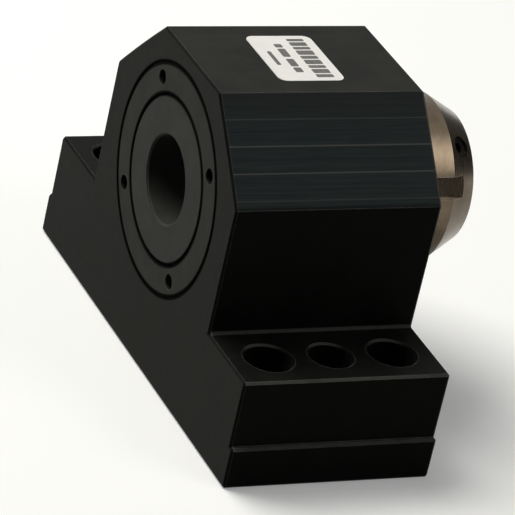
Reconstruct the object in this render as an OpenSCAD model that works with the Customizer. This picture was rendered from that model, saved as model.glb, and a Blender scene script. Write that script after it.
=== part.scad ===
// End support for a ball screw, fixed side: a machined pillow block that holds two angular
// contact ball bearings behind a threaded ring, with shaft seals, collars and a lock nut.
// Millimetres. Origin at the centre of the base. +X runs along the shaft from the threaded
// ring to the lock nut, +Y is across the block and +Z is up.

/* [Block] */
// Height of the shaft axis above the base
axis_h = 45; // [43:0.5:47]
// Overall height of the block
block_h = 75; // [73:0.5:80]
// Width over the two reference edges
block_w = 112; // [108:1:124]
// Width of the upper body between its upright sides
body_w = 69; // [64:0.5:74]
// Width of the flat on top
top_w = 31; // [24:0.5:36]
// Height of the milled shoulder, from the upright side to the flat on top
shoulder_h = 18.5; // [15:0.5:22]
// How far the shoulder bulges out beyond a straight slope
shoulder_bulge = 0.2; // [0.2:0.05:1.5]
// Width that one pass of the cutter leaves on the shoulder
shoulder_pass = 6.1; // [4:0.1:9]
// Thickness of the two feet
foot_h = 26; // [20:0.5:30]
// Height of the reference edge at the bottom of each foot
band_h = 10; // [6:0.5:14]
// How far the reference edge stands out beyond the foot above it
band_proud = 1.2; // [0.9:0.1:2]
// Broken edge on the outside of the block
edge_break = 0.5; // [0.2:0.05:0.6]
// Fillet between a foot and the upright side
ledge_fillet = 1; // [0.4:0.1:2]
// Thickness of the wall behind the bearings
rear_wall_t = 12; // [10:0.5:18]

/* [Fixing holes] */
// Diameter of the four bolt holes
bolt_hole_d = 11; // [9:0.5:12]
// Distance between the bolt holes of one foot, along the shaft
bolt_pitch_x = 30; // [28:0.5:33]
// Distance between the rows of holes, across the block
hole_pitch_y = 90; // [87:0.5:92]
// Diameter of the dowel hole between the bolt holes
dowel_hole_d = 10; // [6:0.5:11]
// Chamfer at both ends of the bolt and dowel holes
hole_chamfer = 0.4; // [0.2:0.1:0.8]

/* [Shaft] */
// Diameter of the shaft journal that the bearings and collars fit
shaft_d = 20; // [18:0.5:21]
// Pitch of the thread for the lock nut
thread_pitch = 1; // [0.75:0.25:1.5]

/* [Bearings] */
// Outside diameter of a bearing
bearing_od = 47; // [45:0.5:49]
// Width of one bearing
bearing_w = 14; // [12:0.5:16]
// Ball diameter
ball_d = 7.94; // [7:0.02:8.2]
// Number of balls in one bearing
ball_count = 11; // [8:1:11]
// Contact angle of the balls
contact_angle = 40; // [15:1:40]
// Radius of the groove over the radius of the ball
groove_ratio = 1.04; // [1.03:0.005:1.06]
// Running gap between ball and groove
ball_gap = 0.04; // [0.02:0.01:0.06]
// Radial distance from the ball circle to a high shoulder
high_shoulder = 1.5; // [1.3:0.1:1.9]
// Radial distance from the ball circle to a low shoulder
low_shoulder = 3.6; // [3.2:0.1:3.7]
// Corner chamfer of the bearing rings
bearing_corner = 0.8; // [0.4:0.1:1]
// Radial thickness of the ball cage
cage_t = 1.9; // [1.4:0.1:2.2]
// How far the cage sits in from each side face of the bearing
cage_inset = 1.2; // [0.8:0.1:1.6]
// Gap between a ball and its pocket in the cage
pocket_gap = 0.12; // [0.08:0.02:0.2]

/* [Shaft seals] */
// Outside diameter of a shaft seal
seal_od = 40; // [38:0.5:41]
// Width of a shaft seal
seal_w = 7; // [6:0.5:8]
// Thickness of the wall that seats the seal
seal_wall = 1.2; // [0.9:0.1:1.5]
// Thickness of the disc of the seal
seal_disc = 1.4; // [1:0.1:1.8]
// Radial height of the lip of the seal
seal_lip_h = 2.5; // [2.2:0.1:2.8]
// Gap between the lip and the collar it runs on
lip_gap = 0.1; // [0.05:0.05:0.2]
// Wire coil diameter of the garter spring
garter_d = 1.2; // [0.8:0.1:1.4]
// How far a seal sits in from the end of its seat
seal_recess = 0.2; // [0.1:0.1:0.6]

/* [Threaded ring] */
// How far the thread of the ring stands outside the bearing seat
ring_step = 2.5; // [1.5:0.1:2.8]
// Thickness of the front lip of the ring
ring_lip_t = 2.8; // [2.4:0.1:4]
// How far the front lip reaches in over the seal
ring_lip_reach = 0.75; // [0.4:0.05:1.5]
// Chamfers that meet in the joint between ring and block
rim_break = 0.3; // [0.1:0.05:0.6]
// Number of holes for the pin spanner
pin_hole_count = 4; // [2:1:6]
// Diameter of a spanner hole
pin_hole_d = 3.6; // [2.5:0.1:4]
// Depth of a spanner hole
pin_hole_depth = 5; // [3:0.5:7]
// Angle from +Y to the first spanner hole
pin_hole_turn = 59; // [0:1:89]

/* [Collars] */
// Diameter of the collars where the seals run
collar_d = 28; // [26.5:0.5:29]
// Thickness of the flange on the front collar
flange_t = 2.4; // [1.6:0.1:2.5]
// Gap between the flange and the lip of the threaded ring
flange_gap = 0.45; // [0.3:0.05:0.8]
// Chamfer on the collars
collar_chamfer = 0.4; // [0.2:0.1:0.6]

/* [Lock nut] */
// Outside diameter of the lock nut
nut_d = 39; // [37:0.5:44]
// Width of the lock nut
nut_w = 18; // [17:0.5:22]
// Length of the cone on the outer end
nut_cone_l = 7; // [6.5:0.5:8]
// Slope of the cone to the shaft axis
nut_cone_angle = 30; // [26:1:32]
// Clear distance from the block to the lock nut
nut_gap = 1; // [0.5:0.1:3]
// Chamfer on the edges and the thread mouths of the lock nut
nut_chamfer = 0.8; // [0.4:0.1:1.2]
// Number of spanner slots
slot_count = 4; // [3:1:6]
// Width of a spanner slot
slot_w = 5; // [4:0.5:6]
// Depth of a spanner slot
slot_depth = 2; // [1:0.25:2.5]
// Angle from +Y to the first spanner slot
slot_turn = 160; // [0:1:179]

/* [Lock screws] */
// Number of lock screws in the cone
screw_count = 3; // [2:1:3]
// Thread diameter of a lock screw
screw_d = 5; // [4:0.5:5]
// Length of a lock screw
screw_l = 5; // [3.5:0.5:6]
// How far a lock screw sits below the cone
screw_recess = 0.8; // [0.4:0.1:1.2]
// Width across flats of the hexagon socket
socket_af = 2.5; // [2:0.1:2.6]
// Depth of the hexagon socket
socket_depth = 2.4; // [1.5:0.1:2.6]
// Angle from the first spanner slot back to the first lock screw
screw_offset = 30; // [20:1:60]

/* [Label] */
// Size of the label along the shaft
label_x = 16; // [10:0.5:30]
// Size of the label across the block
label_y = 21; // [10:0.5:23]
// Thickness of the label
label_t = 0.12; // [0.05:0.01:0.4]
// Corner radius of the label
label_r = 2; // [0.5:0.25:3]

/* [Fits] */
// Radial gap of the bearing and seal seats
seat_gap = 0.01; // [0.005:0.005:0.03]
// Radial gap between the threads of ring and block, and of a lock screw and the nut
thread_gap = 0.05; // [0.02:0.01:0.1]
// How far the bearings stand out of their seat towards the threaded ring
bearing_proud = 0.3; // [0.1:0.1:0.6]
// How far a clamp pin stays clear of the bore of the nut
pin_set_back = 0.02; // [0.01:0.01:0.05]

/* [Hidden] */
front_parts = ["retaining_ring", "front_collar", "front_seal", "front_garter_spring"];
front_bearing_parts = ["front_outer_ring", "front_inner_ring", "front_cage", "front_balls"];
rear_bearing_parts = ["rear_outer_ring", "rear_inner_ring", "rear_cage", "rear_balls"];
rear_parts = ["rear_seal", "rear_garter_spring", "rear_collar", "lock_nut"];
lock_screws = [for (i = [1:screw_count]) str("lock_screw_", i)];
clamp_pins = [for (i = [1:screw_count]) str("clamp_pin_", i)];

$fn = 96;
cut = 1;                     // how far a cutting shape runs past the face it cuts
thread_depth = 1.0825;       // minor diameter = nominal diameter - this factor x pitch
runout_w = 1.5;              // width of the thread's runout groove
runout_depth = 0.4;          // depth of the groove below the thread

// Half widths of the block, and the slope of its shoulder
foot_half_w = block_w / 2 - band_proud;
shoulder_run = (body_w - top_w) / 2;
shoulder_chord = norm([shoulder_run, shoulder_h]);

// Stack along the shaft
ring_t = ring_lip_t + seal_w + seal_recess;
block_l = ring_t + 2 * bearing_w + rear_wall_t;
x_front = -block_l / 2;
x_rear = block_l / 2;
x_bearing_1 = x_front + ring_t;
x_bearing_2 = x_bearing_1 + bearing_w;
x_wall = x_bearing_2 + bearing_w;
x_nut = x_rear + nut_gap;

// Radii about the shaft axis
shaft_r = shaft_d / 2;
collar_r = collar_d / 2;
bearing_r = bearing_od / 2;
seal_r = seal_od / 2;
ring_r = bearing_r + ring_step;
ring_mouth_r = seal_r - ring_lip_reach;
flange_r = ring_mouth_r - flange_gap;
pin_circle_r = (ring_r + ring_mouth_r) / 2;
nut_r = nut_d / 2;
nut_end_r = nut_r - nut_cone_l * tan(nut_cone_angle);
nut_bore_r = (shaft_d - thread_depth * thread_pitch) / 2;

// Ball bearing
ball_r = ball_d / 2;
ball_circle_r = (shaft_r + bearing_r) / 2;
groove_r = ball_r * groove_ratio;
groove_shift = groove_r - ball_r - ball_gap;

// ---- Block ------------------------------------------------------------------------------

// Point at distance s down the shoulder from the flat on top, on an arc over its chord
function shoulder_point(s) =
    let (radius = shoulder_chord * shoulder_chord / (8 * shoulder_bulge) + shoulder_bulge / 2,
         rise = sqrt(radius * radius - pow(s - shoulder_chord / 2, 2))
                - radius + shoulder_bulge)
    [top_w / 2 + (shoulder_run * s + shoulder_h * rise) / shoulder_chord,
     block_h + (shoulder_run * rise - shoulder_h * s) / shoulder_chord];

// An outline [y, z] from its lower right corner up to its top, and its mirror image
function both_halves(half) =
    concat(half, [for (i = [len(half) - 1:-1:0]) [-half[i][0], half[i][1]]]);

function band_outline() =
    let (half_w = block_w / 2)
    both_halves([[half_w - edge_break, 0], [half_w, edge_break],
                 [half_w, band_h - edge_break], [half_w - edge_break, band_h]]);

function foot_outline() =
    both_halves([[foot_half_w, 0], [foot_half_w, foot_h - edge_break],
                 [foot_half_w - edge_break, foot_h]]);

function body_outline() =
    let (passes = ceil(shoulder_chord / shoulder_pass) - 1)
    both_halves(concat(
        [[body_w / 2, 0], shoulder_point(shoulder_chord)],
        [for (i = [passes:-1:1]) shoulder_point(i * shoulder_pass)],
        [shoulder_point(0)]));

// A convex outline moved inwards by e, with every edge kept parallel
function inset(p, e) =
    let (n = len(p))
    [for (i = [0:n - 1])
        let (u = p[i] - p[(i + n - 1) % n],
             v = p[(i + 1) % n] - p[i],
             nu = [-u[1], u[0]] / norm(u),
             nv = [-v[1], v[0]] / norm(v))
        p[i] + e * (nu + nv) / (1 + nu * nv)];

// Carries an outline [y, z] along the shaft, centred on the block
module along_shaft(length) {
    rotate([90, 0, 90]) linear_extrude(length, center = true) children();
}

// Prism of a convex outline, with a broken edge around both end faces
module broken_prism(outline) {
    hull() {
        along_shaft(block_l - 2 * edge_break) polygon(outline);
        along_shaft(block_l) polygon(inset(outline, edge_break));
    }
}

// Corner between a foot and the upright side, left round by the cutter
module ledge_corner(side) {
    r = ledge_fillet;
    along_shaft(block_l - 2 * edge_break) difference() {
        translate([side * body_w / 2 - (side < 0 ? r : 0), foot_h]) square(r);
        translate([side * (body_w / 2 + r), foot_h + r]) circle(r = r);
    }
}

// Cylindrical space on the shaft axis from x0 to x1
module shaft_bore(r, x0, x1) {
    translate([x0, 0, axis_h]) rotate([0, 90, 0]) cylinder(r = r, h = x1 - x0);
}

// Upright hole through a foot, chamfered at both ends
module foot_hole(d, x, y) {
    wide = d / 2 + hole_chamfer;
    translate([x, y, -cut]) cylinder(d = d, h = foot_h + 2 * cut);
    translate([x, y, foot_h - hole_chamfer]) cylinder(r1 = d / 2, r2 = wide, h = hole_chamfer);
    translate([x, y, foot_h]) cylinder(r = wide, h = cut);
    translate([x, y, 0]) cylinder(r1 = wide, r2 = d / 2, h = hole_chamfer);
    translate([x, y, -cut]) cylinder(r = wide, h = cut);
}

module housing() {
    thread_r = ring_r + thread_gap;
    seat_x = x_bearing_1 + bearing_proud;
    color([0.12, 0.13, 0.13])
    difference() {
        union() {
            broken_prism(band_outline());
            broken_prism(foot_outline());
            broken_prism(body_outline());
            ledge_corner(-1);
            ledge_corner(1);
        }
        shaft_bore(seal_r + seat_gap, x_wall - cut, x_rear + cut);
        shaft_bore(bearing_r + seat_gap, seat_x - cut, x_wall);
        shaft_bore(thread_r, x_front - cut, seat_x);
        shaft_bore(thread_r + runout_depth, seat_x - runout_w, seat_x);
        translate([x_front, 0, axis_h]) rotate([0, 90, 0])
            cylinder(r1 = thread_r + rim_break, r2 = thread_r, h = rim_break);
        for (side = [-1, 1]) {
            foot_hole(bolt_hole_d, -bolt_pitch_x / 2, side * hole_pitch_y / 2);
            foot_hole(dowel_hole_d, 0, side * hole_pitch_y / 2);
            foot_hole(bolt_hole_d, bolt_pitch_x / 2, side * hole_pitch_y / 2);
        }
    }
}

module label() {
    color([0.88, 0.86, 0.84])
    translate([0, 0, block_h]) linear_extrude(label_t) {
        square([label_x - 2 * label_r, label_y], center = true);
        square([label_x, label_y - 2 * label_r], center = true);
        for (sx = [-1, 1]) for (sy = [-1, 1])
            translate([sx * (label_x / 2 - label_r), sy * (label_y / 2 - label_r)])
                circle(r = label_r);
    }
}

// ---- Turned parts -----------------------------------------------------------------------

// Turns a section about the shaft axis. Its points are [radius, distance along +X from x0],
// and facing = -1 makes the distance run along -X.
module turned(x0, facing = 1) {
    translate([x0, 0, axis_h]) rotate([0, 90 * facing, 0]) rotate_extrude() children();
}

// Places a shape on the shaft axis, turned by an angle from +Y towards +Z
module around_shaft(angle) {
    translate([0, 0, axis_h]) rotate([angle, 0, 0]) children();
}

module retaining_ring() {
    color([0.19, 0.19, 0.18])
    difference() {
        turned(x_front) polygon([
            [ring_mouth_r, 0], [ring_r - rim_break, 0], [ring_r, rim_break],
            [ring_r, ring_t - thread_pitch], [ring_r - thread_pitch, ring_t],
            [seal_r + seat_gap, ring_t], [seal_r + seat_gap, ring_lip_t],
            [ring_mouth_r, ring_lip_t]]);
        for (i = [0:pin_hole_count - 1])
            around_shaft(pin_hole_turn + i * 360 / pin_hole_count)
                translate([x_front - cut, pin_circle_r, 0]) rotate([0, 90, 0])
                    cylinder(d = pin_hole_d, h = pin_hole_depth + cut, $fn = 48);
    }
}

module front_collar() {
    c = collar_chamfer;
    color([0.22, 0.22, 0.2])
    turned(x_front) polygon([
        [shaft_r + c, 0], [flange_r - c, 0], [flange_r, c], [flange_r, flange_t],
        [collar_r, flange_t], [collar_r, ring_t], [shaft_r, ring_t], [shaft_r, c]]);
}

module rear_collar() {
    c = collar_chamfer;
    length = rear_wall_t + nut_gap;
    color([0.45, 0.45, 0.44])
    turned(x_wall) polygon([
        [shaft_r, 0], [collar_r, 0], [collar_r, length - c], [collar_r - c, length],
        [shaft_r, length]]);
}

// ---- Shaft seals ------------------------------------------------------------------------

garter_x = seal_w - 2;                                   // from the seal's outer face
garter_r = collar_r + lip_gap + seal_lip_h - 0.25 * garter_d;

// Seal with its outer face at x0 and its lip towards the bearings
module shaft_seal(x0, facing) {
    lip_r = collar_r + lip_gap;
    neck_r = lip_r + 0.4 * seal_lip_h;
    back_r = lip_r + 0.8 * seal_lip_h;
    head_r = lip_r + seal_lip_h;
    color([0.1, 0.09, 0.09])
    turned(x0, facing) difference() {
        polygon([
            [neck_r, 0], [seal_r, 0], [seal_r, seal_w], [seal_r - seal_wall, seal_w],
            [seal_r - seal_wall, seal_disc], [back_r, seal_disc],
            [back_r, 0.4 * seal_w], [head_r, 0.5 * seal_w], [head_r, 0.9 * seal_w],
            [neck_r, 0.9 * seal_w], [lip_r, 0.65 * seal_w], [neck_r, 0.4 * seal_w]]);
        translate([garter_r, garter_x]) circle(d = garter_d + 0.1, $fn = 48);
    }
}

module garter_spring(x0, facing) {
    color([0.6, 0.6, 0.6])
    turned(x0, facing) translate([garter_r, garter_x]) circle(d = garter_d, $fn = 48);
}

module front_seal() { shaft_seal(x_front + ring_lip_t, 1); }
module front_garter_spring() { garter_spring(x_front + ring_lip_t, 1); }
module rear_seal() { shaft_seal(x_rear - seal_recess, -1); }
module rear_garter_spring() { garter_spring(x_rear - seal_recess, -1); }

// ---- Bearings ---------------------------------------------------------------------------
// Each is drawn from its outward face at x0. The inner ring has its high shoulder on that
// side and the outer ring on the other, so the pair stands back to back.

// Centre of a groove: the ball's centre moved along the line of contact
function groove_centre(shift) =
    [ball_circle_r + shift * cos(contact_angle), bearing_w / 2 + shift * sin(contact_angle)];

module inner_ring(x0, facing) {
    c = bearing_corner;
    high_r = ball_circle_r - high_shoulder;
    low_r = ball_circle_r - low_shoulder;
    color([0.72, 0.73, 0.74])
    turned(x0, facing) difference() {
        polygon([
            [shaft_r + c, 0], [high_r, 0], [high_r, bearing_w / 2], [low_r, bearing_w / 2],
            [low_r, bearing_w], [shaft_r + c, bearing_w], [shaft_r, bearing_w - c],
            [shaft_r, c]]);
        translate(groove_centre(groove_shift)) circle(r = groove_r);
    }
}

module outer_ring(x0, facing) {
    c = bearing_corner;
    high_r = ball_circle_r + high_shoulder;
    low_r = ball_circle_r + low_shoulder;
    color([0.7, 0.71, 0.72])
    turned(x0, facing) difference() {
        polygon([
            [low_r, 0], [bearing_r - c, 0], [bearing_r, c], [bearing_r, bearing_w - c],
            [bearing_r - c, bearing_w], [high_r, bearing_w], [high_r, bearing_w / 2],
            [low_r, bearing_w / 2]]);
        translate(groove_centre(-groove_shift)) circle(r = groove_r);
    }
}

// Places its children at the centre of every ball of the bearing
module at_balls(x0, facing) {
    for (i = [0:ball_count - 1])
        around_shaft(i * 360 / ball_count)
            translate([x0 + facing * bearing_w / 2, ball_circle_r, 0]) children();
}

module cage(x0, facing) {
    color([0.75, 0.7, 0.55])
    difference() {
        turned(x0, facing)
            translate([ball_circle_r - cage_t / 2, cage_inset])
                square([cage_t, bearing_w - 2 * cage_inset]);
        at_balls(x0, facing) rotate([90, 0, 0])
            cylinder(r = ball_r + pocket_gap, h = 4 * cage_t, center = true);
    }
}

module balls(x0, facing) {
    color([0.85, 0.85, 0.86])
    at_balls(x0, facing) sphere(r = ball_r);
}

module front_inner_ring() { inner_ring(x_bearing_1, 1); }
module front_outer_ring() { outer_ring(x_bearing_1, 1); }
module front_cage() { cage(x_bearing_1, 1); }
module front_balls() { balls(x_bearing_1, 1); }
module rear_inner_ring() { inner_ring(x_wall, -1); }
module rear_outer_ring() { outer_ring(x_wall, -1); }
module rear_cage() { cage(x_wall, -1); }
module rear_balls() { balls(x_wall, -1); }

// ---- Lock nut ---------------------------------------------------------------------------

// Frame of lock screw i: the origin is in the middle of the cone and +Z points out of it
module on_cone(i) {
    middle_r = nut_r - nut_cone_l / 2 * tan(nut_cone_angle);
    around_shaft(slot_turn - screw_offset + (i - 1) * 360 / screw_count)
        translate([x_nut + nut_w - nut_cone_l / 2, middle_r, 0])
            rotate([-90, 0, -nut_cone_angle]) children();
}

// Distance down the axis of a lock screw from the cone to the thread of the shaft
middle_depth = (nut_r - nut_cone_l / 2 * tan(nut_cone_angle) - nut_bore_r)
               / cos(nut_cone_angle);

module lock_nut() {
    c = nut_chamfer;
    color([0.43, 0.38, 0.31])
    difference() {
        turned(x_nut) polygon([
            [nut_bore_r + c, 0], [nut_r - c, 0], [nut_r, c], [nut_r, nut_w - nut_cone_l],
            [nut_end_r, nut_w], [nut_bore_r + c, nut_w], [nut_bore_r, nut_w - c],
            [nut_bore_r, c]]);
        for (i = [0:slot_count - 1])
            around_shaft(slot_turn + i * 360 / slot_count)
                translate([x_nut - cut, nut_r - slot_depth, -slot_w / 2])
                    cube([nut_w + 2 * cut, slot_depth + cut, slot_w]);
        for (i = [1:screw_count])
            on_cone(i) translate([0, 0, -middle_depth - 2])
                cylinder(r = screw_d / 2 + thread_gap, h = middle_depth + 2 + 2 * cut,
                         $fn = 48);
    }
}

module lock_screw(i) {
    across_corners = socket_af / cos(30);
    color([0.08, 0.08, 0.08])
    on_cone(i) difference() {
        translate([0, 0, -screw_recess - screw_l]) cylinder(d = screw_d, h = screw_l, $fn = 48);
        translate([0, 0, -screw_recess - socket_depth])
            cylinder(d = across_corners, h = socket_depth + cut, $fn = 6);
    }
}

// Soft pin between a lock screw and the thread of the shaft, its end cut to the thread
module clamp_pin(i) {
    color([0.78, 0.6, 0.3])
    difference() {
        on_cone(i) translate([0, 0, -middle_depth - 2])
            cylinder(d = screw_d, h = middle_depth + 2 - screw_recess - screw_l, $fn = 48);
        shaft_bore(nut_bore_r + pin_set_back, x_nut, x_nut + nut_w);
    }
}

housing();
label();
retaining_ring();
front_collar();
front_seal();
front_garter_spring();
front_outer_ring();
front_inner_ring();
front_cage();
front_balls();
rear_outer_ring();
rear_inner_ring();
rear_cage();
rear_balls();
rear_seal();
rear_garter_spring();
rear_collar();
lock_nut();
for (i = [1:screw_count])
    lock_screw(i);
for (i = [1:screw_count])
    clamp_pin(i);
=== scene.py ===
# End support of a ball screw, fixed side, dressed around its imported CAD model. The sections
# follow the way the real unit is put together. All lengths are in metres.
import math

import bpy
import numpy as np
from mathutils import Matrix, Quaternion, Vector


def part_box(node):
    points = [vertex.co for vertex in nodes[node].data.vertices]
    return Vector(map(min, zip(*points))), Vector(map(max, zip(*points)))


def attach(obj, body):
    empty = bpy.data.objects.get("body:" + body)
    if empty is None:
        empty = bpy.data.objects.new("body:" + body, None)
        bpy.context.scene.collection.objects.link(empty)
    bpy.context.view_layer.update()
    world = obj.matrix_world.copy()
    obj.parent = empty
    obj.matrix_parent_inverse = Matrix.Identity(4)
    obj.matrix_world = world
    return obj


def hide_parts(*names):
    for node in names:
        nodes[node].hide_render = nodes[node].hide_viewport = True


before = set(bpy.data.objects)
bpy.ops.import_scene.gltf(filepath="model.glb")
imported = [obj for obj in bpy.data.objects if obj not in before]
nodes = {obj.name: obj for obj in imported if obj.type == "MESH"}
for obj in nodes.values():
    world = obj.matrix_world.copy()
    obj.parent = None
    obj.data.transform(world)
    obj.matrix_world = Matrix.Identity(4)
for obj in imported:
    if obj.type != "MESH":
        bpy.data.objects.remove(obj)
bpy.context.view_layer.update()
scene = bpy.context.scene
mm = 0.001

# ---- Camera -------------------------------------------------------------------------------
# It stands in front of the block, to the left and above it, far off behind a long lens, and
# leans a little to one side, so that the base of the block runs downhill to the left.
eye = Vector((-0.4012, -0.7123, 0.4534))
aim = Vector((0.0006, -0.0028, 0.0259))
lean = math.radians(13.05)

camera_data = bpy.data.cameras.new("camera")
camera_data.lens = 286
camera_data.sensor_width = 36
camera_data.clip_start, camera_data.clip_end = 0.01, 50
camera = bpy.data.objects.new("camera", camera_data)
scene.collection.objects.link(camera)
camera.location = eye
camera.rotation_mode = "QUATERNION"
camera.rotation_quaternion = ((aim - eye).to_track_quat("-Z", "Y")
                              @ Quaternion((0, 0, 1), lean))
scene.camera = camera

# ---- Housing ------------------------------------------------------------------------------
# One block of steel, milled on every face and blackened in a hot salt bath. The cutter ran
# along the shaft, and its passes left fine lines on the two sloping shoulders.
housing_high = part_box("housing")[1]
shaft_z = 45 * mm              # height of the shaft axis above the base
flat_half_w = 15.5 * mm        # half the width of the flat on top
shoulder_run = 19 * mm         # the shoulder goes this far out
shoulder_h = 18.5 * mm         # and this far down
band_proud = 1.2 * mm          # the reference edge stands this far out from the foot
side_half_w = flat_half_w + shoulder_run   # half the width between the side walls
pass_w = 6.1 * mm              # width of one pass of the cutter
pass_line_w = 0.26 * mm        # width of the line between two passes
ring_low, ring_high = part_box("retaining_ring")
ring_seat_r = (ring_high.y - ring_low.y) / 2
painted_shade_black = (0.002, 0.002, 0.002)   # black of the painted shade in joints and holes and on the darkest faces


def put(tree, kind, inputs=None, **settings):
    """Adds a shader node: inputs by name or number take a value, or another node's output."""
    made = tree.nodes.new(kind)
    for name, value in settings.items():
        setattr(made, name, value)
    for name, value in (inputs or {}).items():
        if isinstance(value, bpy.types.NodeSocket):
            tree.links.new(value, made.inputs[name])
        else:
            made.inputs[name].default_value = value
    return made


def calc(tree, operation, *values):
    """One step of arithmetic on values or outputs; gives its output."""
    return put(tree, "ShaderNodeMath", dict(enumerate(values)),
               operation=operation).outputs[0]


def fade(tree, value, start, end, low=0.0, high=1.0):
    """Runs smoothly from low to high while the value goes from start to end."""
    return put(tree, "ShaderNodeMapRange",
               {0: value, 1: start, 2: end, 3: low, 4: high},
               interpolation_type="SMOOTHSTEP").outputs[0]


def blend_colour(tree, share, first, second):
    """Mixes two colours, each a colour or an output, by a share from 0 to 1."""
    both = [c if isinstance(c, bpy.types.NodeSocket) else (*c, 1) for c in (first, second)]
    return put(tree, "ShaderNodeMix", {0: share, 6: both[0], 7: both[1]},
               data_type="RGBA").outputs[2]


def place(tree):
    """The place on the object, in metres, split into along the shaft, across and up."""
    here = put(tree, "ShaderNodeTexCoord").outputs["Object"]
    return here, put(tree, "ShaderNodeSeparateXYZ", {0: here}).outputs


def from_shaft(tree, across, upward):
    """Distance from the shaft axis: root of the squares of the way across and up."""
    up = calc(tree, "SUBTRACT", upward, shaft_z)
    return calc(tree, "SQRT", calc(tree, "ADD", calc(tree, "POWER", across, 2.0),
                                   calc(tree, "POWER", up, 2.0)))


def effect(name, inputs, outputs):
    """An empty node group with number inputs, each with its usual value, and outputs."""
    tree = bpy.data.node_groups.new(name, "ShaderNodeTree")
    for label, value in inputs.items():
        tree.interface.new_socket(label, in_out="INPUT",
                                  socket_type="NodeSocketFloat").default_value = value
    for label in outputs:
        tree.interface.new_socket(label, in_out="OUTPUT", socket_type="NodeSocketFloat")
    return tree, tree.nodes.new("NodeGroupInput").outputs, tree.nodes.new("NodeGroupOutput")


def use(tree, group, **values):
    """Places an effect in a material with its own values; gives its outputs."""
    return put(tree, "ShaderNodeGroup", values, node_tree=group).outputs


def finish_of(name, **fixed):
    """A new material with its shader; fixed numbers and colours are set on the shader."""
    material = bpy.data.materials.new(name)
    material.use_nodes = True
    tree = material.node_tree
    shader = tree.nodes["Principled BSDF"]
    for label, value in fixed.items():
        shader.inputs[label.replace("_", " ")].default_value = value
    return material, tree, shader


def wire(tree, shader, **sources):
    """Feeds outputs into the shader's sockets by name."""
    for label, source in sources.items():
        tree.links.new(source, shader.inputs[label.replace("_", " ")])


def relief(tree, height, depth, strength=1.0):
    """Normals of a surface that rises by a height from 0 to 1, over a depth in metres."""
    return put(tree, "ShaderNodeBump", {"Strength": strength, "Distance": depth,
                                        "Height": height}).outputs[0]


def dress(material, *names):
    """Gives a finish to CAD nodes."""
    for name in names:
        nodes[name].data.materials.clear()
        nodes[name].data.materials.append(material)


# Worn edges, lighter also as a painted highlight: the mask is where the surface turns within a
# width, broken up by grime
edge_wear_and_highlight, taken, given = effect("edge_wear_and_highlight", {"Width": 0.5 * mm, "Patchiness": 0.4},
                                 ["Mask"])
rounded = put(edge_wear_and_highlight, "ShaderNodeBevel", {"Radius": taken["Width"]}, samples=6)
facing = put(edge_wear_and_highlight, "ShaderNodeNewGeometry").outputs["Normal"]
agreement = put(edge_wear_and_highlight, "ShaderNodeVectorMath", {0: rounded.outputs[0], 1: facing},
                operation="DOT_PRODUCT").outputs["Value"]
turning = fade(edge_wear_and_highlight, calc(edge_wear_and_highlight, "SUBTRACT", 1.0, agreement), 0.01, 0.16)
here, _ = place(edge_wear_and_highlight)
grime = put(edge_wear_and_highlight, "ShaderNodeTexNoise", {"Vector": here, "Scale": 420.0,
                                              "Detail": 3.0}).outputs[0]
kept = calc(edge_wear_and_highlight, "SUBTRACT", 1.0,
            calc(edge_wear_and_highlight, "MULTIPLY", fade(edge_wear_and_highlight, grime, 0.4, 0.66),
                 taken["Patchiness"]))
edge_wear_and_highlight.links.new(calc(edge_wear_and_highlight, "MULTIPLY", turning, kept), given.inputs["Mask"])

# Lines that a milling cutter leaves along the shaft: two noises stretched along X
milled_lines, taken, given = effect("milled_lines", {"Lines per mm": 3.0}, ["Height"])
_, (along, across, upward) = place(milled_lines)
per_metre = calc(milled_lines, "MULTIPLY", taken["Lines per mm"], 1 / mm)
heights = []
for share, stretch in ((1.0, 0.03), (0.37, 0.006)):
    rate = calc(milled_lines, "MULTIPLY", per_metre, share)
    stretched = put(milled_lines, "ShaderNodeCombineXYZ", {
        0: calc(milled_lines, "MULTIPLY", along, calc(milled_lines, "MULTIPLY", rate,
                                                      stretch)),
        1: calc(milled_lines, "MULTIPLY", across, rate),
        2: calc(milled_lines, "MULTIPLY", upward, rate)}).outputs[0]
    heights.append(put(milled_lines, "ShaderNodeTexNoise",
                       {"Vector": stretched, "Scale": 1.0, "Detail": 2.0}).outputs[0])
milled_lines.links.new(calc(milled_lines, "MULTIPLY_ADD", heights[0], 0.5,
                            calc(milled_lines, "MULTIPLY", heights[1], 0.5)),
                       given.inputs["Height"])

# Cloudy patches that a salt bath leaves in a black finish
bath_clouds, taken, given = effect("bath_clouds", {"Patches per mm": 0.09}, ["Value"])
here, _ = place(bath_clouds)
scale = calc(bath_clouds, "MULTIPLY", taken["Patches per mm"], 1 / mm)
bath_clouds.links.new(
    put(bath_clouds, "ShaderNodeTexNoise", {"Vector": here, "Scale": scale, "Detail": 4.0,
                                            "Roughness": 0.6}).outputs[0],
    given.inputs["Value"])

# Painted shade in the joint round a turned part: dark at a radius about the shaft
joint_shade, taken, given = effect("joint_shade", {"Radius": ring_seat_r,
                                                   "Width": 1.0 * mm}, ["Mask"])
_, (_, across, upward) = place(joint_shade)
off = calc(joint_shade, "ABSOLUTE", calc(
    joint_shade, "SUBTRACT", from_shaft(joint_shade, across, upward), taken["Radius"]))
joint_shade.links.new(fade(joint_shade, off, taken["Width"],
                           calc(joint_shade, "MULTIPLY", taken["Width"], 0.4)),
                      given.inputs["Mask"])

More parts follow.
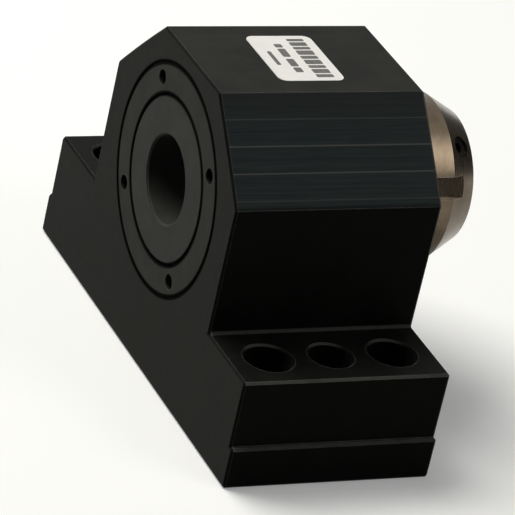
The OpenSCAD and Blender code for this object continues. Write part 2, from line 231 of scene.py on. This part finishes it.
block_finish, tree, shader = finish_of("black_milled_steel", Specular_IOR_Level=0.022)
_, (along, across, upward) = place(tree)
turned_to = put(tree, "ShaderNodeSeparateXYZ",
                {0: put(tree, "ShaderNodeNewGeometry").outputs["True Normal"]}).outputs
endways = calc(tree, "ABSOLUTE", turned_to[0])
sideways = calc(tree, "ABSOLUTE", turned_to[1])
shoulder_end = housing_high.z - shoulder_h
on_shoulder = calc(tree, "MULTIPLY", fade(tree, upward, shoulder_end - mm, shoulder_end),
                   calc(tree, "MULTIPLY", fade(tree, sideways, 0.45, 0.55),
                        fade(tree, sideways, 0.95, 0.85)))
on_shoulder = calc(tree, "MULTIPLY", on_shoulder, fade(tree, endways, 0.3, 0.1))
# Distance down the shoulder from the flat on top, along its slope of nearly 45 degrees
down = calc(tree, "MULTIPLY", math.sqrt(0.5),
            calc(tree, "ADD",
                 calc(tree, "SUBTRACT", calc(tree, "ABSOLUTE", across), flat_half_w),
                 calc(tree, "SUBTRACT", housing_high.z, upward)))
# Painted highlight: a light line between each two passes of the cutter, where the ridge catches
# the light
to_line = calc(tree, "PINGPONG", down, pass_w / 2)
pass_highlights = calc(tree, "MULTIPLY", on_shoulder,
                  fade(tree, to_line, pass_line_w, pass_line_w / 4))
# The painted highlight lines are clearest halfway down the shoulder
middle_pass = calc(tree, "ABSOLUTE", calc(tree, "SUBTRACT", down, 2.5 * pass_w))
pass_highlights = calc(tree, "MULTIPLY", pass_highlights,
                  fade(tree, middle_pass, 0.6 * pass_w, 1.8 * pass_w, 1.0, 0.35))
clouds = use(tree, bath_clouds)["Value"]
lines = use(tree, milled_lines)["Height"]
wear_and_highlight = calc(tree, "MULTIPLY", use(tree, edge_wear_and_highlight)["Mask"],
            fade(tree, endways, 0.25, 0.6, 1.0, 0.1))
# Painted shade in the joint round the retaining ring, on the front face
in_front = fade(tree, along, 0.0, -mm)
painted_joint_shade = calc(tree, "MULTIPLY", use(tree, joint_shade)["Mask"],
            calc(tree, "MULTIPLY", in_front, fade(tree, endways, 0.3, 0.6)))
black = blend_colour(tree, fade(tree, clouds, 0.3, 0.7), (0.012, 0.0125, 0.011),
                     (0.023, 0.023, 0.020))
shoulder_black = blend_colour(tree, fade(tree, lines, 0.3, 0.7), (0.015, 0.021, 0.022),
                              (0.029, 0.036, 0.036))
tinted = calc(tree, "MULTIPLY", on_shoulder, fade(tree, down, 0.0, 1.5 * pass_w, 0.5, 1.0))
colour = blend_colour(tree, tinted, black, shoulder_black)
# Painted shade: the side walls, the ledges and the feet are painted a deeper black, and so are
# the broken edges round both end faces
from_middle = calc(tree, "ABSOLUTE", across)
painted_shade_sides = calc(tree, "MULTIPLY", fade(tree, endways, 0.6, 0.3), fade(
    tree, from_middle, side_half_w - 0.8 * mm, side_half_w - 0.2 * mm))
painted_shade_end_edges = calc(tree, "MULTIPLY", fade(tree, endways, 0.3, 0.45),
                 fade(tree, endways, 0.97, 0.9))
colour = blend_colour(tree, calc(tree, "MULTIPLY", 0.7,
                                 calc(tree, "MAXIMUM", painted_shade_sides, painted_shade_end_edges)),
                      colour, painted_shade_black)
# Painted highlight on the edges and fillets along the shaft and on the top of the reference
# edge
slanted = calc(tree, "MULTIPLY", fade(tree, sideways, 0.25, 0.4),
               fade(tree, sideways, 0.97, 0.9))
slanted = calc(tree, "MULTIPLY", slanted, calc(
    tree, "MULTIPLY", fade(tree, endways, 0.6, 0.35), fade(tree, turned_to[2], 0.15, 0.3)))
long_edges = calc(tree, "MULTIPLY", slanted,
                  fade(tree, upward, shoulder_end - 1.5 * mm, shoulder_end - 3 * mm))
step_top = calc(tree, "MULTIPLY", fade(tree, turned_to[2], 0.8, 0.95),
                fade(tree, from_middle, housing_high.y - band_proud - 0.1 * mm,
                     housing_high.y - band_proud + 0.1 * mm))
painted_edge_highlight = calc(tree, "MULTIPLY", fade(tree, clouds, 0.25, 0.55, 0.5, 0.85),
              calc(tree, "MAXIMUM", long_edges, step_top))
colour = blend_colour(tree, painted_edge_highlight, colour, (0.085, 0.085, 0.078))
# Painted highlight lines between the cutter's passes
colour = blend_colour(tree, calc(tree, "MULTIPLY", pass_highlights, 0.7), colour,
                      (0.11, 0.11, 0.10))
# Worn edges, lighter also as a painted highlight
colour = blend_colour(tree, calc(tree, "MULTIPLY", wear_and_highlight, 0.75), colour,
                      (0.24, 0.24, 0.22))
colour = blend_colour(tree, calc(tree, "MULTIPLY", painted_joint_shade, 0.95), colour, painted_shade_black)
# The painted shade in the joint is matt too
satin = fade(tree, calc(tree, "ADD", lines, clouds), 0.7, 1.3, 0.36, 0.54)
wire(tree, shader, Base_Color=colour, Roughness=calc(tree, "MAXIMUM", satin, painted_joint_shade),
     Normal=relief(tree, lines, 0.02 * mm, 0.35))
dress(block_finish, "housing")

# ---- Rear seal and front seal -------------------------------------------------------------
# Each is moulded from black rubber over a steel case and pressed into its seat. A garter
# spring, wound from thin wire, lies in a groove and holds the lip to its collar.
turned_lines, taken, given = effect("turned_lines", {"Lines per mm": 5.0}, ["Height"])
_, (along, across, upward) = place(turned_lines)
rate = calc(turned_lines, "MULTIPLY", taken["Lines per mm"], 1 / mm)
ring_place = put(turned_lines, "ShaderNodeCombineXYZ", {
    0: calc(turned_lines, "MULTIPLY", from_shaft(turned_lines, across, upward), rate),
    1: calc(turned_lines, "MULTIPLY", along, rate)}).outputs[0]
turned_lines.links.new(
    put(turned_lines, "ShaderNodeTexNoise", {"Vector": ring_place, "Scale": 1.0,
                                             "Detail": 2.0}).outputs[0],
    given.inputs["Height"])

rubber_finish, tree, shader = finish_of("moulded_rubber", Specular_IOR_Level=0.3)
clouds = use(tree, bath_clouds, **{"Patches per mm": 0.6})["Value"]
wire(tree, shader,
     Base_Color=blend_colour(tree, fade(tree, clouds, 0.3, 0.7), (0.016, 0.015, 0.014),
                             (0.034, 0.032, 0.031)),
     Roughness=fade(tree, clouds, 0.2, 0.8, 0.55, 0.75),
     Normal=relief(tree, use(tree, turned_lines, **{"Lines per mm": 2.0})["Height"],
                   0.02 * mm, 0.5))
dress(rubber_finish, "rear_seal", "front_seal")

coil_turns = 240                # turns of wire in one spring
wire_r = 0.17 * mm


def mesh_piece(name, points, faces, material, smooth=None):
    """A piece from arrays of points and faces; edges sharper than smooth degrees stay sharp."""
    mesh = bpy.data.meshes.new(name)
    mesh.from_pydata(points.tolist(), [], faces.tolist())
    mesh.materials.append(material)
    if smooth:
        mesh.shade_smooth()
        mesh.set_sharp_from_angle(angle=math.radians(smooth))
    piece = bpy.data.objects.new(name, mesh)
    scene.collection.objects.link(piece)
    return piece


def closed_grid(rows, columns):
    """Quads that join a grid of points both ways, with the last joined to the first."""
    r, c = np.meshgrid(np.arange(rows), np.arange(columns), indexing="ij")
    r, c = r.ravel(), c.ravel()
    next_r, next_c = (r + 1) % rows, (c + 1) % columns
    return np.stack([r * columns + c, r * columns + next_c, next_r * columns + next_c,
                     next_r * columns + c], 1)


def coil_surface(middle, coil_r, ring_r, steps=12, sides=6):
    """A round wire wound into a coil, and the coil bent into a closed ring about the shaft.
    The wire's centre goes round the coil once a turn while it goes round the ring by one part
    in all the turns; its section is a circle across the wire's path."""
    u = np.linspace(0, 2 * np.pi * coil_turns, coil_turns * steps, endpoint=False)[:, None]
    ring, coil = u / coil_turns, u
    outward = np.hstack([0 * ring, np.cos(ring), np.sin(ring)])
    onward = np.hstack([0 * ring, -np.sin(ring), np.cos(ring)])
    ahead = np.array([[1.0, 0.0, 0.0]])
    spoke = np.sin(coil) * ahead + np.cos(coil) * outward
    centre = np.array([middle, 0, shaft_z]) + ring_r * outward + coil_r * spoke
    path = (coil_r * (np.cos(coil) * ahead - np.sin(coil) * outward)
            + (ring_r + coil_r * np.cos(coil)) / coil_turns * onward)
    path /= np.linalg.norm(path, axis=1, keepdims=True)
    aside = np.cross(path, spoke)
    v = np.linspace(0, 2 * np.pi, sides, endpoint=False)[None, :, None]
    points = centre[:, None] + wire_r * (np.cos(v) * spoke[:, None]
                                         + np.sin(v) * aside[:, None])
    return points.reshape(-1, 3), closed_grid(len(u), sides)


spring_finish, tree, shader = finish_of("drawn_wire", Metallic=1.0)
clouds = use(tree, bath_clouds, **{"Patches per mm": 1.5})["Value"]
wire(tree, shader,
     Base_Color=blend_colour(tree, fade(tree, clouds, 0.3, 0.7), (0.40, 0.40, 0.39),
                             (0.54, 0.54, 0.53)),
     Roughness=fade(tree, clouds, 0.2, 0.8, 0.22, 0.38))
for side in ("rear", "front"):
    low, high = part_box(f"{side}_garter_spring")
    outside_r = (high.x - low.x) / 2
    spring = mesh_piece(f"{side}_garter_coil", *coil_surface(
        (low.x + high.x) / 2, outside_r - wire_r, (high.y - low.y) / 2 - outside_r),
        spring_finish, smooth=80)
    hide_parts(f"{side}_garter_spring")
    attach(spring, "block")

# ---- Bearings -----------------------------------------------------------------------------
# Two angular contact bearings stand back to back against the wall of the housing. Rings are
# ground, balls are polished, and the cages are moulded from a tan resin.
ground_finish, tree, shader = finish_of("ground_steel", Metallic=1.0)
lines = use(tree, turned_lines, **{"Lines per mm": 12.0})["Height"]
clouds = use(tree, bath_clouds, **{"Patches per mm": 0.2})["Value"]
wire(tree, shader,
     Base_Color=blend_colour(tree, fade(tree, clouds, 0.3, 0.7), (0.56, 0.57, 0.58),
                             (0.66, 0.66, 0.66)),
     Roughness=fade(tree, lines, 0.25, 0.75, 0.16, 0.32),
     Normal=relief(tree, lines, 0.004 * mm, 0.5))
dress(ground_finish, "rear_outer_ring", "rear_inner_ring", "front_outer_ring",
      "front_inner_ring")

ball_finish, tree, shader = finish_of("polished_steel", Metallic=1.0)
clouds = use(tree, bath_clouds, **{"Patches per mm": 0.5})["Value"]
wire(tree, shader,
     Base_Color=blend_colour(tree, fade(tree, clouds, 0.3, 0.7), (0.72, 0.73, 0.74),
                             (0.78, 0.78, 0.78)),
     Roughness=fade(tree, clouds, 0.2, 0.8, 0.05, 0.1))
dress(ball_finish, "rear_balls", "front_balls")

resin_finish, tree, shader = finish_of("moulded_resin", Specular_IOR_Level=0.4)
fibres = use(tree, milled_lines, **{"Lines per mm": 8.0})["Height"]
clouds = use(tree, bath_clouds, **{"Patches per mm": 0.8})["Value"]
wire(tree, shader,
     Base_Color=blend_colour(tree, fade(tree, clouds, 0.3, 0.7), (0.55, 0.46, 0.28),
                             (0.64, 0.56, 0.38)),
     Roughness=fade(tree, fibres, 0.3, 0.7, 0.4, 0.55),
     Normal=relief(tree, fibres, 0.01 * mm, 0.4))
dress(resin_finish, "rear_cage", "front_cage")

# ---- Retaining ring and front collar -------------------------------------------------------
# The ring is turned, threaded into the front of the block and blackened. The collar spins
# inside it with the shaft, and its flange covers the seal.


def blackened_turned(name, dark, light, rough, joints=(), face=None):
    """Black finish on a turned part: lathe lines, cloudy patches and worn edges, lighter also
    as a painted highlight, with painted shade in the joints at some radii, and in holes that go
    deeper than a face."""
    material, tree, shader = finish_of(name, Specular_IOR_Level=0.03)
    lines = use(tree, turned_lines)["Height"]
    clouds = use(tree, bath_clouds, **{"Patches per mm": 0.15})["Value"]
    tone = calc(tree, "MULTIPLY_ADD", lines, 0.6, calc(tree, "MULTIPLY", clouds, 0.4))
    worn_and_highlit = use(tree, edge_wear_and_highlight, Width=0.35 * mm)["Mask"]
    colour = blend_colour(tree, fade(tree, tone, 0.35, 0.65), dark, light)
    # Worn edges, lighter also as a painted highlight
    colour = blend_colour(tree, calc(tree, "MULTIPLY", worn_and_highlit, 0.6), colour,
                          (0.14, 0.135, 0.12))
    shade_masks = [use(tree, joint_shade, Radius=r)["Mask"] for r in joints]
    if face is not None:
        _, (along, _, _) = place(tree)
        shade_masks.append(fade(tree, along, face + 0.2 * mm, face + 1.2 * mm))
    satin = fade(tree, lines, 0.3, 0.7, rough, rough + 0.12)
    # Painted shade in the joints and in the holes behind the face
    for mask in shade_masks:
        colour = blend_colour(tree, calc(tree, "MULTIPLY", mask, 0.95), colour,
                              painted_shade_black)
        satin = calc(tree, "MAXIMUM", satin, mask)
    wire(tree, shader, Base_Color=colour, Roughness=satin,
         Normal=relief(tree, lines, 0.02 * mm, 0.5))
    return material


collar_low, collar_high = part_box("front_collar")
flange_joint_r = (collar_high.y - collar_low.y) / 2 + 0.2 * mm
dress(blackened_turned("black_turned_ring", (0.021, 0.021, 0.018), (0.037, 0.037, 0.032),
                       0.38, (ring_seat_r, flange_joint_r), ring_low.x), "retaining_ring")
dress(blackened_turned("black_turned_collar", (0.030, 0.030, 0.027), (0.050, 0.050, 0.046),
                       0.34, (flange_joint_r,)), "front_collar")

# ---- Rear collar --------------------------------------------------------------------------
# A ground steel sleeve between the rear bearing and the lock nut, which clamps it. The lip
# of the rear seal runs on it.
dress(ground_finish, "rear_collar")

# ---- Lock nut -----------------------------------------------------------------------------
# Turned from steel and left a warm brown-black by its finish. It has a coned end, spanner
# slots, three holes for lock screws, and a fine thread that clamps the whole stack.
nut_low, nut_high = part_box("lock_nut")
nut_w = nut_high.x - nut_low.x
nut_r = (nut_high.y - nut_low.y) / 2
cone_l = 7 * mm
cone_slope = math.radians(30)
nut_edge = 0.8 * mm            # chamfer on the edges and at both mouths of the thread
pitch = 1 * mm
major_r = 10 * mm
minor_r = major_r - 0.54125 * pitch      # as deep as a standard metric thread
slot_count, slot_w, slot_depth, slot_turn = 4, 5 * mm, 2 * mm, math.radians(160)
screw_count, screw_hole_r, screw_turn = 3, 2.55 * mm, math.radians(130)
cone_middle_r = nut_r - cone_l / 2 * math.tan(cone_slope)


def nut_surface(around, per_pitch):
    """The nut turned about the shaft. Its section runs round the outside and back through
    the bore. In the bore the radius is the larger of the mouth's chamfer, which falls by as
    much as it goes in, and the thread: a groove with 30 degree sides that moves along by one
    pitch in each turn."""
    end_r = nut_r - cone_l * math.tan(cone_slope)
    mouth_r = minor_r + nut_edge
    outside = np.array([[mouth_r, 0], [nut_r - nut_edge, 0], [nut_r, nut_edge],
                        [nut_r, nut_w - cone_l], [end_r, nut_w], [mouth_r, nut_w]])
    count = int(round(nut_w / pitch * per_pitch))
    inside_x = np.linspace(nut_w, 0, count + 1)[1:-1]
    turn = np.linspace(0, 2 * np.pi, around, endpoint=False)
    phase = (inside_x[:, None] / pitch - turn / (2 * np.pi)) % 1
    from_groove = np.abs(phase - 0.5) * 2
    groove = (major_r - minor_r) * np.clip((0.75 - from_groove) / 0.625, 0, 1)
    chamfer = mouth_r - np.minimum(inside_x, nut_w - inside_x)
    inside_r = np.maximum(minor_r + groove, chamfer[:, None])
    r = np.vstack([np.repeat(outside[:, :1], around, 1), inside_r])
    x = np.concatenate([outside[:, 1], inside_x])[:, None] + np.zeros(around)
    return np.stack([nut_low.x + x, r * np.cos(turn), shaft_z + r * np.sin(turn)],
                    2).reshape(-1, 3), closed_grid(len(r), around)


def box_surface(size, centre, turn):
    """A box moved out to its centre and then turned about the shaft."""
    corners = np.array([[x, y, z] for x in (-1, 1) for y in (-1, 1) for z in (-1, 1)])
    p = corners * np.array(size) / 2 + np.array(centre)
    c, s = math.cos(turn), math.sin(turn)
    p = np.stack([p[:, 0], p[:, 1] * c - p[:, 2] * s, shaft_z + p[:, 1] * s + p[:, 2] * c],
                 1)
    return p, np.array([[0, 1, 3, 2], [4, 6, 7, 5], [0, 4, 5, 1], [2, 3, 7, 6],
                        [0, 2, 6, 4], [1, 5, 7, 3]])


def screw_hole(turn, around=40):
    """A cylinder square to the cone, from well outside it down into the bore."""
    a = np.linspace(0, 2 * np.pi, around, endpoint=False)
    out = np.array([math.sin(cone_slope), math.cos(cone_slope)])    # along X, and radial
    side = np.array([math.cos(cone_slope), -math.sin(cone_slope)])
    start = np.array([nut_high.x - cone_l / 2, cone_middle_r])
    rings = []
    for depth in (-12 * mm, 4 * mm):
        flat = (start + depth * out)[None] + screw_hole_r * np.cos(a)[:, None] * side
        level = screw_hole_r * np.sin(a)
        rings.append(np.stack([flat[:, 0],
                               flat[:, 1] * math.cos(turn) - level * math.sin(turn),
                               shaft_z + flat[:, 1] * math.sin(turn)
                               + level * math.cos(turn)], 1))
    n = np.arange(around)
    walls = [[around + i, around + (i + 1) % around, (i + 1) % around, i] for i in n]
    return np.vstack(rings), walls + [n.tolist(), (n + around)[::-1].tolist()]


nut_finish, tree, shader = finish_of("brown_black_steel", Metallic=1.0)
lines = use(tree, turned_lines, **{"Lines per mm": 6.0})["Height"]
clouds = use(tree, bath_clouds, **{"Patches per mm": 0.12})["Value"]
worn_and_highlit = use(tree, edge_wear_and_highlight, Width=0.4 * mm)["Mask"]
tone = calc(tree, "MULTIPLY_ADD", lines, 0.4, calc(tree, "MULTIPLY", clouds, 0.6))
brown = blend_colour(tree, fade(tree, tone, 0.3, 0.7), (0.080, 0.061, 0.041),
                     (0.165, 0.128, 0.089))
# Worn edges are a lighter brown, partly as a painted highlight
wire(tree, shader,
     Base_Color=blend_colour(tree, calc(tree, "MULTIPLY", worn_and_highlit, 0.6), brown,
                             (0.30, 0.265, 0.22)),
     Roughness=fade(tree, lines, 0.25, 0.75, 0.16, 0.3),
     Normal=relief(tree, lines, 0.01 * mm, 0.5))

lock_nut = mesh_piece("lock_nut_threaded", *nut_surface(around=144, per_pitch=8),
                      nut_finish)
cutters = []
reach = 2 * nut_edge           # a slot's cutter stands out of the nut by this much
for i in range(slot_count):
    cutters.append(box_surface((nut_w + 2 * reach, slot_depth + reach, slot_w),
                               ((nut_low.x + nut_high.x) / 2,
                                nut_r - slot_depth / 2 + reach / 2, 0),
                               slot_turn + i * 2 * math.pi / slot_count))
for i in range(screw_count):
    cutters.append(screw_hole(screw_turn + i * 2 * math.pi / screw_count))
for points, faces in cutters:
    tool = bpy.data.objects.new("cutter", bpy.data.meshes.new("cutter"))
    tool.data.from_pydata(points.tolist(), [], [list(f) for f in faces])
    scene.collection.objects.link(tool)
    cut = lock_nut.modifiers.new("cut", "BOOLEAN")
    cut.operation, cut.solver, cut.object = "DIFFERENCE", "EXACT", tool
    bpy.context.view_layer.update()
    shaped = bpy.data.meshes.new_from_object(
        lock_nut.evaluated_get(bpy.context.evaluated_depsgraph_get()))
    lock_nut.modifiers.remove(cut)
    lock_nut.data = shaped
    bpy.data.objects.remove(tool)
lock_nut.data.name = "lock_nut_threaded"
lock_nut.data.shade_smooth()
lock_nut.data.set_sharp_from_angle(angle=math.radians(24))
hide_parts("lock_nut")
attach(lock_nut, "shaft_set")

# ---- Clamp pins and lock screws -----------------------------------------------------------
# Plain brass pins, cut from rod, lie under three blackened socket screws in the nut's cone.
# They press on the shaft's thread without marking it.
brass_finish, tree, shader = finish_of("plain_brass", Metallic=1.0)
clouds = use(tree, bath_clouds, **{"Patches per mm": 0.9})["Value"]
wire(tree, shader,
     Base_Color=blend_colour(tree, fade(tree, clouds, 0.3, 0.7), (0.50, 0.35, 0.14),
                             (0.66, 0.48, 0.22)),
     Roughness=fade(tree, clouds, 0.2, 0.8, 0.25, 0.4))
dress(brass_finish, "clamp_pin_1", "clamp_pin_2", "clamp_pin_3")
dress(blackened_turned("black_screw", (0.012, 0.012, 0.012), (0.024, 0.024, 0.024), 0.3),
      "lock_screw_1", "lock_screw_2", "lock_screw_3")

# ---- Label --------------------------------------------------------------------------------
# White film with rounded corners, stuck on the flat on top. The print is plain grey bars in
# three rows, which run across the block.
label_low, label_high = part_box("label")
ink_t = 0.02 * mm

film_finish, tree, shader = finish_of("white_film", Specular_IOR_Level=0.35)
clouds = use(tree, bath_clouds, **{"Patches per mm": 0.25})["Value"]
wire(tree, shader,
     Base_Color=blend_colour(tree, fade(tree, clouds, 0.3, 0.7), (0.80, 0.785, 0.76),
                             (0.85, 0.835, 0.81)),
     Roughness=fade(tree, clouds, 0.2, 0.8, 0.35, 0.5))
dress(film_finish, "label")

ink_finish, tree, shader = finish_of("grey_ink", Specular_IOR_Level=0.3)
speckle = use(tree, bath_clouds, **{"Patches per mm": 2.0})["Value"]
wire(tree, shader,
     Base_Color=blend_colour(tree, fade(tree, speckle, 0.35, 0.65), (0.075, 0.07, 0.07),
                             (0.15, 0.145, 0.14)),
     Roughness=fade(tree, speckle, 0.2, 0.8, 0.4, 0.6))


def round_bar(x0, x1, y0, y1, corner, steps=5):
    """Outline of a bar with round corners: quarter circles about the four inner corners."""
    corner = min(corner, (x1 - x0) / 2, (y1 - y0) / 2)
    quarter = np.linspace(0, np.pi / 2, steps)
    middles = [(x1 - corner, y1 - corner), (x0 + corner, y1 - corner),
               (x0 + corner, y0 + corner), (x1 - corner, y0 + corner)]
    return np.vstack([np.stack([mx + corner * np.cos(quarter + i * np.pi / 2),
                                my + corner * np.sin(quarter + i * np.pi / 2)], 1)
                      for i, (mx, my) in enumerate(middles)])


# Rows of bars: from and to along the shaft, and then each bar's ends across the block, in mm
# from the middle of the label
print_rows = [
    (1.6, 5.8, [(-9.0, -7.6), (-7.1, -5.2), (-4.7, -3.4), (-2.9, -0.9), (-0.4, 1.0),
                (1.5, 3.5), (4.0, 5.2), (5.7, 7.4), (7.9, 9.0)]),
    (-2.5, -0.6, [(-6.6, -4.4), (-3.9, -0.4), (0.6, 4.4), (5.0, 6.6)]),
    (-5.6, -4.6, [(-3.2, 3.2)]),
]
label_middle = (label_low + label_high) / 2
ink_points, ink_faces, start = [], [], 0
for x0, x1, bars in print_rows:
    for y0, y1 in bars:
        outline = round_bar(x0 * mm, x1 * mm, y0 * mm, y1 * mm, 0.35 * mm)
        n = len(outline)
        for z in (label_high.z - ink_t / 4, label_high.z + ink_t):
            ink_points.append(np.column_stack([outline + label_middle[:2],
                                               np.full(n, z)]))
        ring = np.arange(n)
        ink_faces += [(start + ring[::-1]).tolist(), (start + n + ring).tolist()]
        ink_faces += [[start + i, start + (i + 1) % n, start + n + (i + 1) % n,
                       start + n + i] for i in ring]
        start += 2 * n
ink_mesh = bpy.data.meshes.new("label_print")
ink_mesh.from_pydata(np.vstack(ink_points).tolist(), [], ink_faces)
ink_mesh.materials.append(ink_finish)
label_print = bpy.data.objects.new("label_print", ink_mesh)
scene.collection.objects.link(label_print)
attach(label_print, "block")

# ---- Floor and light ----------------------------------------------------------------------
# A pale studio floor under a large soft lamp, above the block, to the left and behind it,
# and a weak one on the other side. The floor sends little light back up at the block, and
# far away it glows, so that it runs into the white background.
floor_half = 4.0
floor_gap = 0.05 * mm          # the floor lies this far below the base
lamp_aim = Vector((0, 0, 30 * mm))
floor_finish, tree, shader = finish_of("studio_floor", Roughness=0.9,
                                       Specular_IOR_Level=0.0)
ray = put(tree, "ShaderNodeLightPath").outputs
seen = calc(tree, "SUBTRACT", 1.0, ray["Is Diffuse Ray"])
here, _ = place(tree)
away = put(tree, "ShaderNodeVectorMath", {0: here}, operation="LENGTH").outputs["Value"]
near = fade(tree, away, 0.3, 1.4, 1.0, 0.0)
wire(tree, shader, Base_Color=blend_colour(
    tree, calc(tree, "MULTIPLY", seen, near), (0.08, 0.08, 0.08), (0.9, 0.9, 0.9)))
shader.inputs["Emission Color"].default_value = (1, 1, 1, 1)
wire(tree, shader, Emission_Strength=calc(tree, "MULTIPLY", seen,
                                          fade(tree, away, 0.22, 0.85, 0.2, 0.95)))
floor = mesh_piece("studio_floor",
                   np.array([[-1, -1, 0], [1, -1, 0], [1, 1, 0], [-1, 1, 0]]) * floor_half
                   - np.array([0, 0, floor_gap]), np.array([[0, 1, 2, 3]]), floor_finish)

world = bpy.data.worlds.new("studio")
world.use_nodes = True
scene.world = world
tree = world.node_tree
ray = put(tree, "ShaderNodeLightPath").outputs
ray_way = put(tree, "ShaderNodeTexCoord").outputs["Generated"]


def towards(direction):
    """How well a ray's direction agrees with another one, from -1 to 1."""
    return put(tree, "ShaderNodeVectorMath", {0: ray_way, 1: direction},
               operation="DOT_PRODUCT").outputs["Value"]


reflected = fade(tree, towards((-0.2, 0.55, 0.81)), -0.25, 0.6, 0.14, 1.15)
# A white card round the side lamp shows in shiny metal, and a dark card beyond the nut's end
# gives its cone a dark side
side_lamp_way = Vector((0.516, -0.526, 0.677))
reflected = calc(tree, "ADD", reflected,
                 fade(tree, towards(side_lamp_way), 0.895, 0.915, 0.0, 1.4))
reflected = calc(tree, "MULTIPLY", reflected,
                 fade(tree, towards((0.97, 0.18, 0.16)), 0.6, 0.9, 1.0, 0.15))
backdrop = calc(tree, "MAXIMUM", ray["Is Camera Ray"], ray["Is Transmission Ray"])
strength = calc(tree, "MAXIMUM", backdrop,
                calc(tree, "MULTIPLY", ray["Is Glossy Ray"], reflected))
# The block also gets a weak, slightly cool light from all round
room_light = 0.06
sky = tree.nodes["Background"]
tree.links.new(calc(tree, "MAXIMUM", strength, room_light), sky.inputs["Strength"])
tree.links.new(blend_colour(tree, calc(tree, "GREATER_THAN", strength, 0.0),
                            (0.86, 1.0, 1.0), (1, 1, 1)), sky.inputs["Color"])


def lamp(name, way, distance, size, power, colour):
    """A square area lamp that shines on the middle of the block from a direction."""
    data = bpy.data.lights.new(name, "AREA")
    data.shape, data.size, data.energy, data.color = "SQUARE", size, power, colour
    lit = bpy.data.objects.new(name, data)
    scene.collection.objects.link(lit)
    direction = Vector(way).normalized()
    lit.location = lamp_aim + direction * distance
    lit.rotation_euler = (-direction).to_track_quat("-Z", "Y").to_euler()


lamp("overhead_softbox", (-0.34, 0.41, 0.84), distance=1.2, size=0.8, power=15.0,
     colour=(1.0, 0.985, 0.93))
lamp("side_softbox", side_lamp_way, distance=0.9, size=0.4, power=0.85,
     colour=(1.0, 0.97, 0.92))

scene.view_settings.view_transform = "Standard"
